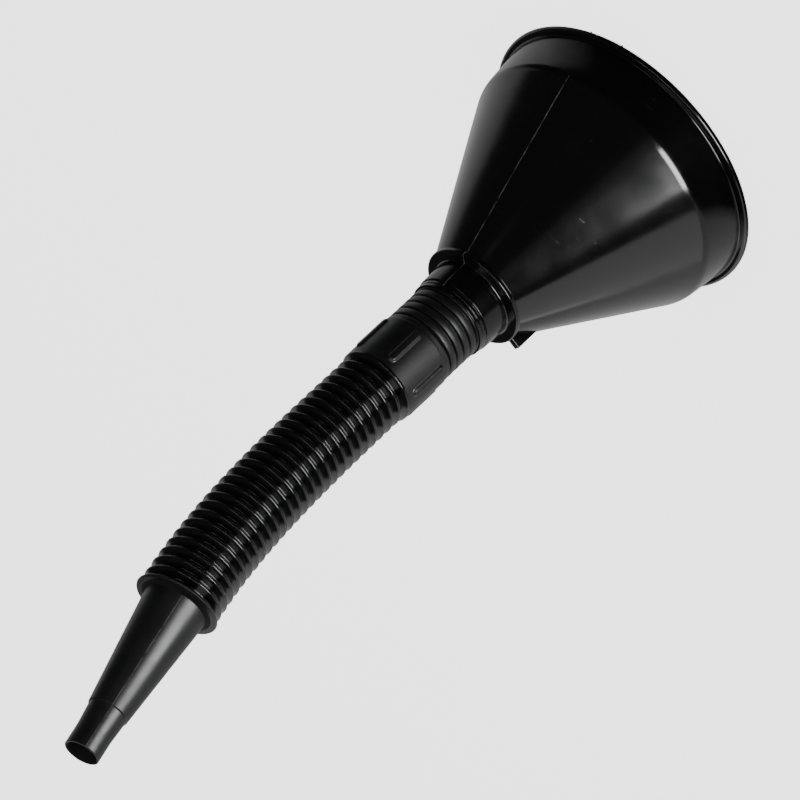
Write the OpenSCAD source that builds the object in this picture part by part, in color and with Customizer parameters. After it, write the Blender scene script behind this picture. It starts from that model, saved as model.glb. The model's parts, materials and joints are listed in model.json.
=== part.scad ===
// Funnel with a push-fit flexible spout, standing upside down on its rim.
// Origin at the centre of the rim's face, +Z up along the bowl's axis towards the spout.

/* [Bowl] */
// Outside diameter of the rim lip
rim_d = 160; // [130:1:200]
// Thickness of the rim lip
rim_t = 3.6; // [2:0.1:6]
// How far the rim lip stands out past the band
rim_out = 3.8; // [1:0.1:6]
// Height from the rim's face to the shoulder, where the band meets the cone
band_h = 27.2; // [15:0.2:45]
// Radius that the band loses between the lip and the shoulder
band_draft = 2.4; // [0:0.1:5]
// Height from the rim's face to the neck flange
bowl_h = 118; // [90:1:150]
// Wall thickness of the bowl
bowl_wall = 1.8; // [1.2:0.1:3]
// Radius of the rounded shoulder between the band and the cone
shoulder_r = 14; // [4:1:20]

/* [Neck flange and socket] */
// Radius that the neck flange adds to the cone's small end
flange_out = 1.4; // [0.5:0.1:4]
// Thickness of the neck flange, which is also the shelf that the spout stops on
flange_t = 2.8; // [2:0.1:5]
// Depth of the socket that the spout pushes into
socket_depth = 19.6; // [15:0.2:32]
// Wall thickness of the socket
socket_wall = 1.8; // [1.2:0.1:3]
// Height of the stepped bead at the socket's open end
bead_h = 4.8; // [3:0.1:8]
// How far the bead is set in from the socket's outside
bead_in = 0.9; // [0.4:0.1:1.2]
// Width of the shelf inside the socket's bottom
shelf_w = 3.3; // [1.5:0.1:5]
// Height of the slope that drains the cone into the outlet
drain_h = 5; // [2:0.5:8]
// How far the cone's small end stands out past the socket
cone_end_out = 4.6; // [2:0.1:8]

/* [Lug] */
// Thickness of the lug between the neck flange and the cone
lug_t = 3.8; // [2:0.1:6]
// How far the lug stands out past the neck flange
lug_out = 6; // [3:0.2:9]
// Direction of the lug, measured around the axis
lug_angle = 168; // [0:1:359]

/* [Strainer] */
// Height of the strainer ring's small end below the neck flange
strainer_drop = 14; // [8:1:30]
// Height of the strainer ring
strainer_h = 6; // [4:0.5:10]
// Width of the strainer ring across its wall
strainer_w = 4; // [3:0.2:8]
// Thickness of the strainer's gauze
gauze_t = 0.6; // [0.4:0.1:1]
// Width of the step that the gauze lies on
gauze_lap = 1.8; // [1:0.1:2.5]
// Width of the crossed bars under the gauze
bar_w = 2.4; // [1.5:0.1:5]
// Depth of the crossed bars
bar_h = 2.2; // [1.5:0.1:4]
// Diameter of the knob that lifts the strainer out
knob_d = 9; // [6:0.5:14]
// Height of the knob past the bars
knob_h = 9; // [5:0.5:15]

/* [Spout neck] */
// Diameter over the ribs of the push-fit neck
rib_d = 41.4; // [34:0.2:50]
// Depth of the grooves between those ribs
rib_depth = 1.5; // [0.8:0.1:2]
// Distance from one rib to the next
rib_pitch = 5.07; // [4:0.01:6.5]
// Number of ribs on the neck
rib_count = 8; // [6:1:9]
// Distance from the neck's end to its first rib
rib_lead = 2.8; // [2:0.1:4]
// Wall thickness of the blow-moulded spout
spout_wall = 1.2; // [0.8:0.1:1.6]

/* [Grip collar] */
// Length of the grip collar
collar_len = 33.4; // [26:0.2:45]
// Radius that the collar gains over the ribs of the neck
collar_out = 0.4; // [0:0.1:2]
// Length of the stepped ring at the collar's neck end
collar_step_len = 5; // [2:0.5:8]
// Height of that step
collar_step = 0.4; // [0.2:0.1:1]
// Number of grip ribs around the collar
grip_count = 6; // [3:1:10]
// Length of a grip rib
grip_len = 22.5; // [14:0.5:24]
// Width of a grip rib, which has round sides and ends
grip_w = 4.4; // [3.4:0.1:6]
// How far a grip rib stands out of the collar
grip_out = 1.1; // [0.5:0.1:1.5]
// Direction of the first grip rib, measured around the axis
grip_angle = 43; // [0:1:359]

/* [Hose] */
// Number of crests on the corrugated hose, without its end flange
crest_count = 26; // [10:1:40]
// Distance from one crest to the next
crest_pitch = 5.9; // [5.2:0.1:7]
// Diameter over the first crest
hose_d_start = 40.2; // [36:0.2:50]
// Diameter over the last crest
hose_d_end = 42; // [36:0.2:50]
// Depth of the corrugation
crest_depth = 3; // [2:0.1:4]
// Radius of a crest's rounded edge
crest_r = 0.8; // [0.5:0.1:1]
// Gap between one ring's foot and the next, which is where the hose bends
fold_gap = 2.4; // [2.2:0.1:3]
// Angle that the hose is bent through at rest
rest_bend = 13; // [0:1:30]
// How strongly that bend gathers towards the nozzle, 1 for an even bend
bend_power = 2.2; // [1:0.1:4]

/* [Nozzle] */
// Diameter of the flange at the nozzle's root
end_flange_d = 43.8; // [38:0.2:52]
// Thickness of that flange
end_flange_t = 1.6; // [1:0.1:3]
// Diameter of the nozzle's cone at its root
nozzle_root_d = 33.2; // [28:0.2:40]
// Diameter of the nozzle's cone just above the step
nozzle_end_d = 21.1; // [16:0.1:30]
// Length of the nozzle's cone
nozzle_len = 65; // [40:1:90]
// Height of the step at the cone's end
nozzle_step = 0.6; // [0.3:0.1:1.5]
// Diameter of the tip's straight end
tip_d = 18.2; // [12:0.1:24]
// Length of the whole tip below the step
tip_len = 24.6; // [18:0.2:40]
// Length of the tip's straight end
tip_straight = 12; // [6:0.5:16]
// Radius of the fillet at the nozzle's root
root_fillet = 1.6; // [0.5:0.1:3]

/* [Clearances] */
// Radial clearance of the neck's ribs in the socket
push_gap = 0.1; // [0.05:0.05:0.3]
// Clearance between pieces that face each other along the axis
face_gap = 0.2; // [0.1:0.1:0.5]
// Clearance of the strainer ring in the cone
strainer_gap = 0.4; // [0.2:0.1:1]

/* [Hidden] */
$fn = 96;

// Steps in a rounded profile's quarter turn
arc_steps = 5;
// Overlap that makes joined shapes one solid, and cuts run through
bite = 1;

rim_r = rim_d / 2;
rib_r = rib_d / 2;
rib_core_r = rib_r - rib_depth;
spout_bore_r = rib_core_r - spout_wall;

socket_bore_r = rib_r + push_gap;
socket_r = socket_bore_r + socket_wall;
bead_r = socket_r - bead_in;
outlet_r = socket_bore_r - shelf_w;
cone_end_r = socket_r + cone_end_out;
flange_r = cone_end_r + flange_out;
shelf_z = bowl_h + flange_t;
socket_end_z = shelf_z + socket_depth;
bead_z = socket_end_z - bead_h;

band_top_r = rim_r - rim_out;
shoulder_x = band_top_r - band_draft;
cone_h = bowl_h - band_h;
// Inclination of the band and of the cone to the bowl's axis
band_lean = atan2(band_draft, band_h - rim_t);
cone_lean = atan2(shoulder_x - cone_end_r, cone_h);
// Distance from the sharp shoulder to where its rounding starts
shoulder_reach = shoulder_r * tan((cone_lean - band_lean) / 2);

neck_z = shelf_z + face_gap;
first_rib_z = neck_z + rib_lead;
collar_z = first_rib_z + (rib_count - 1) * rib_pitch + rib_pitch * 0.35;
collar_r = rib_r + collar_out;
collar_end_z = collar_z + collar_len;

hose_foot_r = hose_d_start / 2 - crest_depth;
ring_w = crest_pitch - fold_gap;
flange_crest = crest_count + 1;

function ring_name(k) = str("hose_ring_", k < 10 ? "0" : "", k);

// Lean of crest k at rest: 0 is the collar's last edge, and flange_crest is the nozzle's flange
function crest_tilt(k) = rest_bend * pow(k / flange_crest, bend_power);
function crest_way(k) = [-sin(crest_tilt(k)), 0, cos(crest_tilt(k))];
function crest_pos(k) =
  k == 0 ? [0, 0, collar_end_z] : crest_pos(k - 1) + crest_pitch / 2 * (crest_way(k - 1) + crest_way(k));
function crest_radius(k) = (hose_d_start + (hose_d_end - hose_d_start) * k / flange_crest) / 2;

// Outside radius of the cone's wall at height z, and of its inside
function cone_out_r(z) = shoulder_x - (z - band_h) * tan(cone_lean);
function cone_in_r(z) = cone_out_r(z) - bowl_wall / cos(cone_lean);

// Points of the shoulder's rounding, with its radius changed by an offset of the wall
function shoulder_arc(offset) =
  let (
    start_r = shoulder_x + shoulder_reach * sin(band_lean),
    start_z = band_h - shoulder_reach * cos(band_lean),
    middle = [start_r - shoulder_r * cos(band_lean), start_z - shoulder_r * sin(band_lean)]
  )
  [
    for (i = [0:arc_steps])
      let (a = band_lean + (cone_lean - band_lean) * i / arc_steps)
        middle + (shoulder_r - offset) * [cos(a), sin(a)]
  ];

// Moves a piece drawn around +Z at the origin to crest k of the bent hose
module at_crest(k) {
  translate(crest_pos(k))
    rotate([0, -crest_tilt(k), 0])
      children();
}

module bowl_profile() {
  lip_round = rim_t / 2;
  polygon(concat(
    [[band_top_r - bowl_wall, 0], [rim_r - lip_round, 0]],
    [for (i = [1:2 * arc_steps - 1])
      let (a = -90 + 90 * i / arc_steps)
        [rim_r - lip_round + lip_round * cos(a), lip_round + lip_round * sin(a)]],
    [[rim_r - lip_round, rim_t], [band_top_r, rim_t]],
    shoulder_arc(0),
    [
      [cone_end_r, bowl_h],
      [flange_r, bowl_h],
      [flange_r, shelf_z],
      [socket_r, shelf_z],
      [socket_r, bead_z],
      [bead_r, bead_z + bead_in],
      [bead_r, socket_end_z - bead_in],
      [bead_r - bead_in / 2, socket_end_z],
      [socket_bore_r, socket_end_z],
      [socket_bore_r, shelf_z],
      [outlet_r, shelf_z],
      [outlet_r, bowl_h],
      [cone_in_r(bowl_h - drain_h), bowl_h - drain_h]
    ],
    [for (p = [arc_steps:-1:0]) shoulder_arc(bowl_wall)[p]],
    [[band_top_r - bowl_wall, rim_t]]
  ));
}

module lug() {
  lug_r = flange_r + lug_out;
  // Height at which the lug's outer edge runs into the cone
  lug_low_z = band_h + (shoulder_x - lug_r) / tan(cone_lean);
  rotate([0, 0, lug_angle])
    rotate([90, 0, 0])
      translate([0, 0, -lug_t / 2])
        linear_extrude(lug_t)
          polygon([
            [cone_out_r(bowl_h) - bite, bowl_h],
            [lug_r, bowl_h],
            [lug_r, lug_low_z],
            [cone_out_r(lug_low_z) - bite, lug_low_z]
          ]);
}

module funnel_bowl() {
  color([0.03, 0.03, 0.03])
    union() {
      rotate_extrude() bowl_profile();
      lug();
    }
}

// Height of the strainer ring's small end, and the radii that follow the cone
strainer_top_z = bowl_h - strainer_drop;
strainer_low_z = strainer_top_z - strainer_h;
strainer_top_r = cone_in_r(strainer_top_z) - strainer_gap / cos(cone_lean);
strainer_low_r = cone_in_r(strainer_low_z) - strainer_gap / cos(cone_lean);
strainer_bore_r = strainer_top_r - strainer_w;
gauze_r = strainer_bore_r + gauze_lap;
gauze_z = strainer_top_z - gauze_t;

module strainer_ring() {
  color([0.06, 0.06, 0.06])
    union() {
      rotate_extrude()
        polygon([
          [strainer_bore_r, strainer_low_z],
          [strainer_low_r, strainer_low_z],
          [strainer_top_r, strainer_top_z],
          [gauze_r, strainer_top_z],
          [gauze_r, gauze_z],
          [strainer_bore_r, gauze_z]
        ]);
      for (turn = [0, 90])
        rotate([0, 0, turn])
          translate([-strainer_bore_r - bite / 2, -bar_w / 2, gauze_z - bar_h])
            cube([2 * strainer_bore_r + bite, bar_w, bar_h]);
      translate([0, 0, gauze_z - bar_h - knob_h])
        cylinder(h = knob_h + bar_h, d = knob_d);
    }
}

module strainer_gauze() {
  color([0.72, 0.6, 0.32])
    translate([0, 0, gauze_z])
      cylinder(h = gauze_t, r = gauze_r);
}

module spout_neck() {
  // Each rib rises and falls as a cosine of the height along the neck
  neck_end_z = collar_z - face_gap;
  rib_steps = 12;
  color([0.05, 0.05, 0.05])
    rotate_extrude()
      polygon(concat(
        [[spout_bore_r, neck_z], [rib_core_r, neck_z]],
        [for (i = [-rib_steps / 4:(rib_count - 1) * rib_steps + rib_steps / 4])
          [
            rib_core_r + rib_depth * (1 + cos(i * 360 / rib_steps)) / 2,
            first_rib_z + i * rib_pitch / rib_steps
          ]],
        [[rib_core_r, neck_end_z], [spout_bore_r, neck_end_z]]
      ));
}

module grip_rib() {
  // A bar with round sides and ends, sunk in the collar's wall
  bar_r = grip_w / 2;
  bar_x = collar_r + grip_out - bar_r;
  rib_low_z = collar_z + (collar_len - grip_len) / 2 + collar_step_len / 4;
  translate([bar_x, 0, rib_low_z + bar_r]) {
    cylinder(h = grip_len - grip_w, r = bar_r);
    sphere(r = bar_r);
    translate([0, 0, grip_len - grip_w])
      sphere(r = bar_r);
  }
}

module spout_collar() {
  step_z = collar_z + collar_step_len;
  color([0.05, 0.05, 0.05])
    difference() {
      union() {
        rotate_extrude()
          polygon([
            [0, collar_z],
            [rib_core_r, collar_z],
            [collar_r - collar_step, collar_z + 2],
            [collar_r - collar_step, step_z - collar_step],
            [collar_r, step_z],
            [collar_r, collar_end_z - 1],
            [collar_r - 1, collar_end_z],
            [hose_foot_r, collar_end_z + ring_w / 2],
            [0, collar_end_z + ring_w / 2]
          ]);
        for (i = [0:grip_count - 1])
          rotate([0, 0, grip_angle + i * 360 / grip_count])
            grip_rib();
      }
      translate([0, 0, collar_z - bite])
        cylinder(h = collar_len + ring_w + 2 * bite, r = hose_foot_r - spout_wall);
    }
}

module ring_profile(top_r) {
  // A rounded crest on a trapezium, hollow inside like the moulded wall
  foot_r = top_r - crest_depth;
  groove_r = top_r - crest_r - spout_wall;
  polygon(concat(
    [[foot_r - spout_wall, -ring_w / 2], [foot_r, -ring_w / 2]],
    [for (i = [-arc_steps:arc_steps])
      let (a = 90 * i / arc_steps)
        [top_r - crest_r + crest_r * cos(a), crest_r * sin(a)]],
    [
      [foot_r, ring_w / 2],
      [foot_r - spout_wall, ring_w / 2],
      [foot_r - spout_wall, ring_w / 4],
      [groove_r, 0],
      [foot_r - spout_wall, -ring_w / 4]
    ]
  ));
}

module hose_ring(k) {
  color([0.05, 0.05, 0.05])
    at_crest(k)
      rotate_extrude()
        ring_profile(crest_radius(k));
}

module nozzle_profile() {
  root_r = nozzle_root_d / 2;
  end_r = nozzle_end_d / 2;
  tip_r = tip_d / 2;
  foot_r = crest_radius(flange_crest) - crest_depth;
  face_z = end_flange_t / 2;
  step_z = face_z + nozzle_len;
  tip_z = step_z + tip_len;
  polygon(concat(
    [
      [foot_r, -ring_w / 2],
      [end_flange_d / 2 - face_z, -face_z]
    ],
    [for (i = [-arc_steps:arc_steps])
      let (a = 90 * i / arc_steps)
        [end_flange_d / 2 - face_z + face_z * cos(a), face_z * sin(a)]],
    [for (i = [0:arc_steps])
      let (a = 90 * i / arc_steps)
        [root_r + root_fillet - root_fillet * sin(a), face_z + root_fillet - root_fillet * cos(a)]],
    [
      [end_r, step_z],
      [end_r - nozzle_step, step_z + nozzle_step],
      [tip_r, tip_z - tip_straight],
      [tip_r, tip_z],
      [tip_r - spout_wall, tip_z],
      [tip_r - spout_wall, tip_z - tip_straight],
      [end_r - nozzle_step - spout_wall, step_z],
      [root_r - spout_wall, face_z + root_fillet],
      [foot_r - spout_wall, -ring_w / 2]
    ]
  ));
}

module nozzle() {
  color([0.05, 0.05, 0.05])
    at_crest(flange_crest)
      rotate_extrude()
        nozzle_profile();
}

funnel_bowl();
strainer_ring();
strainer_gauze();
spout_neck();
spout_collar();
for (k = [1:crest_count])
  hose_ring(k);
nozzle();
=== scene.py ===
"""A black pouring funnel with a bendable push-fit spout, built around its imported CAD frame."""

import json
import math

import bmesh
import bpy
from bpy.props import FloatProperty, FloatVectorProperty, IntProperty, PointerProperty
from mathutils import Matrix, Vector


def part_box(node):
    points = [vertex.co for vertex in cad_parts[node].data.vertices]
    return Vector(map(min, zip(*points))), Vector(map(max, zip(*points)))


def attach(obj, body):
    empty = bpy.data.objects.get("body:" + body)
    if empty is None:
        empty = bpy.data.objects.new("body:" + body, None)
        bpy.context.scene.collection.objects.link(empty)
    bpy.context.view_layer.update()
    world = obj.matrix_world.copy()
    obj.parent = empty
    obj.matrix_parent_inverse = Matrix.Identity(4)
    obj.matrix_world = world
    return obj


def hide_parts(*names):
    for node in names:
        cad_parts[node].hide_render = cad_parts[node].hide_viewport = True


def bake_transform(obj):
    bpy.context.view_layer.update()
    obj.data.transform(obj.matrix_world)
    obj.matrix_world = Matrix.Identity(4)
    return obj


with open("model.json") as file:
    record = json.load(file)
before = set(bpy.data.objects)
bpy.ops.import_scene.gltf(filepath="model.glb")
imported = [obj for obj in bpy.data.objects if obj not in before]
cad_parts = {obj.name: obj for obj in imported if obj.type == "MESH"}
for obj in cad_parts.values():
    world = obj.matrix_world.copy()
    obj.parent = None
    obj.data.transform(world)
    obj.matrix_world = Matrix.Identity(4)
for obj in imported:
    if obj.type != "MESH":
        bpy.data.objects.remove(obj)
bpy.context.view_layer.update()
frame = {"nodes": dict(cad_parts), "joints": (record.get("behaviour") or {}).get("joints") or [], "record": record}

bl_info = {
    "name": "Bendable Spout Funnel",
    "version": (1, 0, 0),
    "blender": (4, 5, 0),
    "location": "View3D > Sidebar > Funnel",
    "description": "Builds a pouring funnel with a push-fit neck, a grip collar, a corrugated hose and a nozzle",
    "category": "Object",
}

MM = 0.001
FULL_TURN = 2 * math.pi
CONE_END_OUT = 4.6 * MM  # how far the cone's small end stands out past the socket
SEAT_GAP = 0.2 * MM  # between the neck's end and the shelf that it stops on
SEAM_SUNK = 0.4 * MM  # how deep the ridge of a parting line sits in the skin
COLLAR_SIDES = 384  # enough for the round sides of the grip ribs
COLLAR_ROWS = 76


# ---------------------------------------------------------------- places read from the frame

BOXES = {name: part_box(name) for name in frame["nodes"]}


def top_of(node):
    """Greatest height of a CAD node."""
    return BOXES[node][1].z


def bottom_of(node):
    """Least height of a CAD node."""
    return BOXES[node][0].z


def radius_of(node):
    """Greatest radius of a CAD node that is turned around the Z axis, or of a leaning ring across it."""
    return BOXES[node][1].y


HOSE_RINGS = sorted(n for n in frame["nodes"] if n.startswith("hose_ring_"))
FOLDS = [Vector(j["pos_m"]) for j in frame["joints"] if j["name"].startswith("hose_fold_")]
NOZZLE_TIP = next(m for m in frame["record"]["mounts"] if m["name"] == "nozzle_tip")
CREST_PITCH = (FOLDS[1] - FOLDS[0]).length


def crest_ways():
    """Direction of the hose's axis at every crest, from the collar's edge to the nozzle's flange."""
    between = [(b - a).normalized() for a, b in zip(FOLDS, FOLDS[1:])]
    return [Vector((0, 0, 1))] + between + [Vector(NOZZLE_TIP["axis"]).normalized()]


CREST_WAYS = crest_ways()
CREST_TILTS = [math.atan2(-way.x, way.z) for way in CREST_WAYS]
COLLAR_END = (FOLDS[0] - CREST_WAYS[0] * CREST_PITCH / 2).z


def crest_matrix(k):
    """Places a shape drawn around +Z at the origin on crest k: 0 is the collar's edge, the last is the nozzle's."""
    if k == 0:
        centre = Vector((0, 0, COLLAR_END))
    else:
        centre = FOLDS[k - 1] + CREST_WAYS[k] * CREST_PITCH / 2
    return Matrix.Translation(centre) @ Matrix.Rotation(-CREST_TILTS[k], 4, "Y")


# ---------------------------------------------------------------- sizes and colours a user would change

def length(name, default, description):
    """A length in metres, given in millimetres."""
    return FloatProperty(
        name=name, default=default * MM, description=description, min=0.0, unit="LENGTH", precision=5
    )


def angle(name, degrees, description):
    """An angle, given in degrees."""
    return FloatProperty(name=name, default=math.radians(degrees), description=description, unit="ROTATION")


def colour(name, default, description):
    """A linear RGB colour."""
    return FloatVectorProperty(
        name=name, default=default, description=description, size=3, min=0.0, max=1.0, subtype="COLOR"
    )


class FunnelBowlSizes(bpy.types.PropertyGroup):
    """Sizes of the moulded bowl"""

    wall: length("Wall", 1.8, "Thickness of the bowl's wall")
    lip_thickness: length("Lip thickness", 3.6, "Thickness of the rim lip")
    lip_overhang: length("Lip overhang", 3.8, "How far the lip stands out past the band")
    band_height: length("Band height", 27.2, "Height from the rim's face to the shoulder, before it is rounded")
    band_draft: length("Band draft", 2.4, "Radius that the band loses on its way to the shoulder")
    shoulder_radius: length("Shoulder radius", 14.0, "Rounding between the band and the cone")
    flange_thickness: length("Flange thickness", 2.8, "Thickness of the neck flange")
    flange_overhang: length("Flange overhang", 1.4, "How far the flange stands out past the cone")
    bore_clearance: length("Bore clearance", 0.1, "Gap between the spout's ribs and the socket")
    bead_height: length("Bead height", 4.8, "Height of the stepped bead at the socket's end")
    bead_inset: length("Bead inset", 0.9, "How far the bead is set in from the socket")
    outlet_radius: length("Outlet radius", 17.5, "Radius of the hole in the shelf under the spout")
    drain_height: length("Drain height", 5.0, "Height of the slope that leads into the outlet")
    seam_angle: angle("Seam angle", -50.3, "Direction of the mould's parting line")
    lug_angle: angle("Lug angle", 168.0, "Direction of the lug between the flange and the cone")
    lug_thickness: length("Lug thickness", 3.8, "Thickness of the lug")
    lug_reach: length("Lug reach", 6.0, "How far the lug stands out past the flange")
    segments: IntProperty(name="Segments", default=256, min=32, max=512, description="Sides of the turned bowl")


class FunnelSpoutSizes(bpy.types.PropertyGroup):
    """Sizes of the blow-moulded spout"""

    wall: length("Wall", 1.2, "Thickness of the spout's wall")
    rib_depth: length("Rib depth", 1.5, "Depth of the grooves between the neck's ribs")
    rib_pitch: length("Rib pitch", 5.07, "Distance from one rib of the neck to the next")
    rib_lead: length("Rib lead", 2.8, "Distance from the neck's end to its first rib")
    rib_count: IntProperty(name="Ribs", default=8, min=1, max=12, description="Ribs on the push-fit neck")
    collar_radius: length("Collar radius", 21.1, "Outside radius of the grip collar")
    collar_step: length("Collar step", 0.4, "Height of the step near the collar's neck end")
    collar_step_length: length("Step length", 5.0, "Length of the collar's stepped ring")
    grip_count: IntProperty(name="Grips", default=6, min=1, max=12, description="Raised ribs around the collar")
    grip_length: length("Grip length", 22.5, "Length of a grip rib")
    grip_width: length("Grip width", 4.4, "Width of a grip rib")
    grip_height: length("Grip height", 1.1, "How far a grip rib stands out")
    grip_angle: angle("Grip angle", 43.0, "Direction of the first grip rib")
    crest_depth: length("Crest depth", 3.0, "Depth of the hose's corrugation")
    crest_radius: length("Crest radius", 0.75, "Rounding of a hose crest")
    valley_radius: length("Valley radius", 0.6, "Rounding of a hose valley")
    crest_flat: length("Crest flat", 0.2, "Width of the flat on top of a crest")
    flange_radius: length("End flange radius", 21.9, "Radius of the flange at the nozzle's root")
    flange_thickness: length("End flange thickness", 1.6, "Thickness of that flange")
    root_radius: length("Nozzle root radius", 16.6, "Radius of the nozzle's cone at its root")
    end_radius: length("Nozzle end radius", 10.55, "Radius of the nozzle's cone above the step")
    nozzle_length: length("Nozzle length", 65.0, "Length of the nozzle's cone")
    step_height: length("Step height", 0.6, "Height of the step below the cone")
    tip_length: length("Tip length", 24.6, "Length of the tip below the step")
    root_fillet: length("Root fillet", 1.6, "Fillet where the nozzle leaves its flange")
    seam_angle: angle("Seam angle", -84.0, "Direction of the spout's parting line")
    segments: IntProperty(name="Segments", default=144, min=32, max=384, description="Sides of the turned spout")


class FunnelFinish(bpy.types.PropertyGroup):
    """Colours of the finishes"""

    bowl: colour("Bowl plastic", (0.0045, 0.0046, 0.005), "Glossy injection-moulded plastic")
    spout: colour("Spout plastic", (0.007, 0.0073, 0.008), "Satin blow-moulded plastic")
    dust: colour("Dust", (0.12, 0.12, 0.12), "Settled dust and handling marks")
    # painted highlight: a pale grey that stands in for the glint along the parting lines and on the lip flash
    seam_glint_colour: colour("Seam glint", (0.2, 0.2, 0.205), "Trimmed edge of a parting line")
    strainer: colour("Strainer plastic", (0.012, 0.012, 0.013), "Plastic of the strainer's ring")
    wire: colour("Gauze wire", (0.62, 0.48, 0.22), "Brass wire of the strainer's gauze")
    floor: colour("Floor", (0.86, 0.86, 0.86), "Pale studio floor")


# ---------------------------------------------------------------- outlines, in (radius, height) pairs

def arc(centre, radius, start, stop, steps):
    """Points of a circular arc between two angles in degrees."""
    turn = [math.radians(start + (stop - start) * i / steps) for i in range(steps + 1)]
    return [(centre[0] + radius * math.cos(a), centre[1] + radius * math.sin(a)) for a in turn]


def rounded(outline, radii, steps=4):
    """The open outline with its inner corners rounded: radii gives one radius per inner corner."""
    points = [outline[0]]
    for before, corner, after, radius in zip(outline, outline[1:], outline[2:], radii):
        c = Vector(corner)
        a = (Vector(before) - c)
        b = (Vector(after) - c)
        opening = a.angle(b)
        reach = min(radius / math.tan(opening / 2), a.length * 0.49, b.length * 0.49)
        if radius <= 0 or reach < 1e-7:
            points.append(corner)
            continue
        start, stop = c + a.normalized() * reach, c + b.normalized() * reach
        for i in range(steps + 1):
            t = i / steps
            # a quadratic curve with the corner as its control point is close to a circular fillet
            p = start * (1 - t) ** 2 + c * 2 * t * (1 - t) + stop * t ** 2
            points.append((p.x, p.y))
    return points + [outline[-1]]


# ---------------------------------------------------------------- mesh helpers

def new_piece(name, bm, material, sharp=35.0):
    """Turns a bmesh into an object with smooth faces, sharp where they meet at more than the given angle."""
    mesh = bpy.data.meshes.new(name)
    bm.to_mesh(mesh)
    bm.free()
    mesh.shade_smooth()
    mesh.set_sharp_from_angle(angle=math.radians(sharp))
    piece = bpy.data.objects.new(name, mesh)
    bpy.context.scene.collection.objects.link(piece)
    mesh.materials.append(material)
    return piece


def lathe(outline, segments):
    """A bmesh of a closed (radius, height) outline turned once around the Z axis."""
    bm = bmesh.new()
    verts = [bm.verts.new((r, 0, z)) for r, z in outline]
    edges = [bm.edges.new(pair) for pair in zip(verts, verts[1:] + verts[:1])]
    bmesh.ops.spin(
        bm, geom=verts + edges, cent=(0, 0, 0), axis=(0, 0, 1), dvec=(0, 0, 0),
        angle=FULL_TURN, steps=segments, use_merge=True, use_normal_flip=False, use_duplicate=False,
    )
    bmesh.ops.recalc_face_normals(bm, faces=bm.faces)
    return bm


def rest_place(piece):
    """Stores each vertex's resting place, which the grain of the spout's materials reads."""
    mesh = piece.data
    attribute = mesh.attributes.new("rest_place", "FLOAT_VECTOR", "POINT")
    attribute.data.foreach_set("vector", [c for v in mesh.vertices for c in v.co])


def seam_ridge(outline, height, depth, width, turn):
    """A bmesh of the thin raised line that a mould leaves along an outline, at an angle around Z."""
    bm = bmesh.new()
    ways = [Vector(b) - Vector(a) for a, b in zip(outline, outline[1:])]
    outs = [Vector((w.y, -w.x)).normalized() for w in ways]
    outs = [outs[0]] + [(a + b).normalized() for a, b in zip(outs, outs[1:])] + [outs[-1]]
    high = [Vector(p) + n * height for p, n in zip(outline, outs)]
    low = [Vector(p) - n * depth for p, n in zip(outline, outs)]
    verts = [bm.verts.new((p.x, -width / 2, p.y)) for p in high + low[::-1]]
    face = bm.faces.new(verts)
    side = bmesh.ops.extrude_face_region(bm, geom=[face])["geom"]
    bmesh.ops.translate(bm, vec=(0, width, 0), verts=[g for g in side if isinstance(g, bmesh.types.BMVert)])
    bmesh.ops.recalc_face_normals(bm, faces=bm.faces)
    bmesh.ops.rotate(bm, cent=(0, 0, 0), matrix=Matrix.Rotation(turn, 3, "Z"), verts=bm.verts)
    return bm


# ---------------------------------------------------------------- shader groups

def socket(group, name, kind, default=None, output=False):
    """Adds a named socket to a shader group."""
    made = group.interface.new_socket(name=name, in_out="OUTPUT" if output else "INPUT", socket_type=kind)
    if default is not None:
        made.default_value = default
    return made


class NodeBench:
    """A short way to add and join the nodes of a tree."""

    def __init__(self, tree):
        self.tree = tree

    def add(self, kind, **settings):
        node = self.tree.nodes.new(kind)
        for key, value in settings.items():
            setattr(node, key, value)
        return node

    def join(self, source, target):
        self.tree.links.new(source, target)

    def maths(self, operation, first, second=None, clamp=False):
        """A Math node whose inputs are sockets or numbers. Returns its output."""
        node = self.add("ShaderNodeMath", operation=operation, use_clamp=clamp)
        for slot, value in zip(node.inputs, (first, second)):
            if isinstance(value, bpy.types.NodeSocket):
                self.join(value, slot)
            elif value is not None:
                slot.default_value = value
        return node.outputs[0]

    def noise(self, vector, scale, detail=2.0, roughness=0.5):
        """A noise texture's value."""
        node = self.add("ShaderNodeTexNoise")
        self.join(vector, node.inputs["Vector"])
        given = {"Scale": scale, "Detail": detail, "Roughness": roughness}
        for name, value in given.items():
            if isinstance(value, bpy.types.NodeSocket):
                self.join(value, node.inputs[name])
            else:
                node.inputs[name].default_value = value
        return node.outputs["Fac"]

    def remap(self, value, low, high, out_low=0.0, out_high=1.0):
        """A value moved from one range to another, and held inside it."""
        node = self.add("ShaderNodeMapRange", clamp=True)
        self.join(value, node.inputs["Value"])
        for slot, number in zip(("From Min", "From Max", "To Min", "To Max"), (low, high, out_low, out_high)):
            node.inputs[slot].default_value = number
        return node.outputs["Result"]


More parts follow.
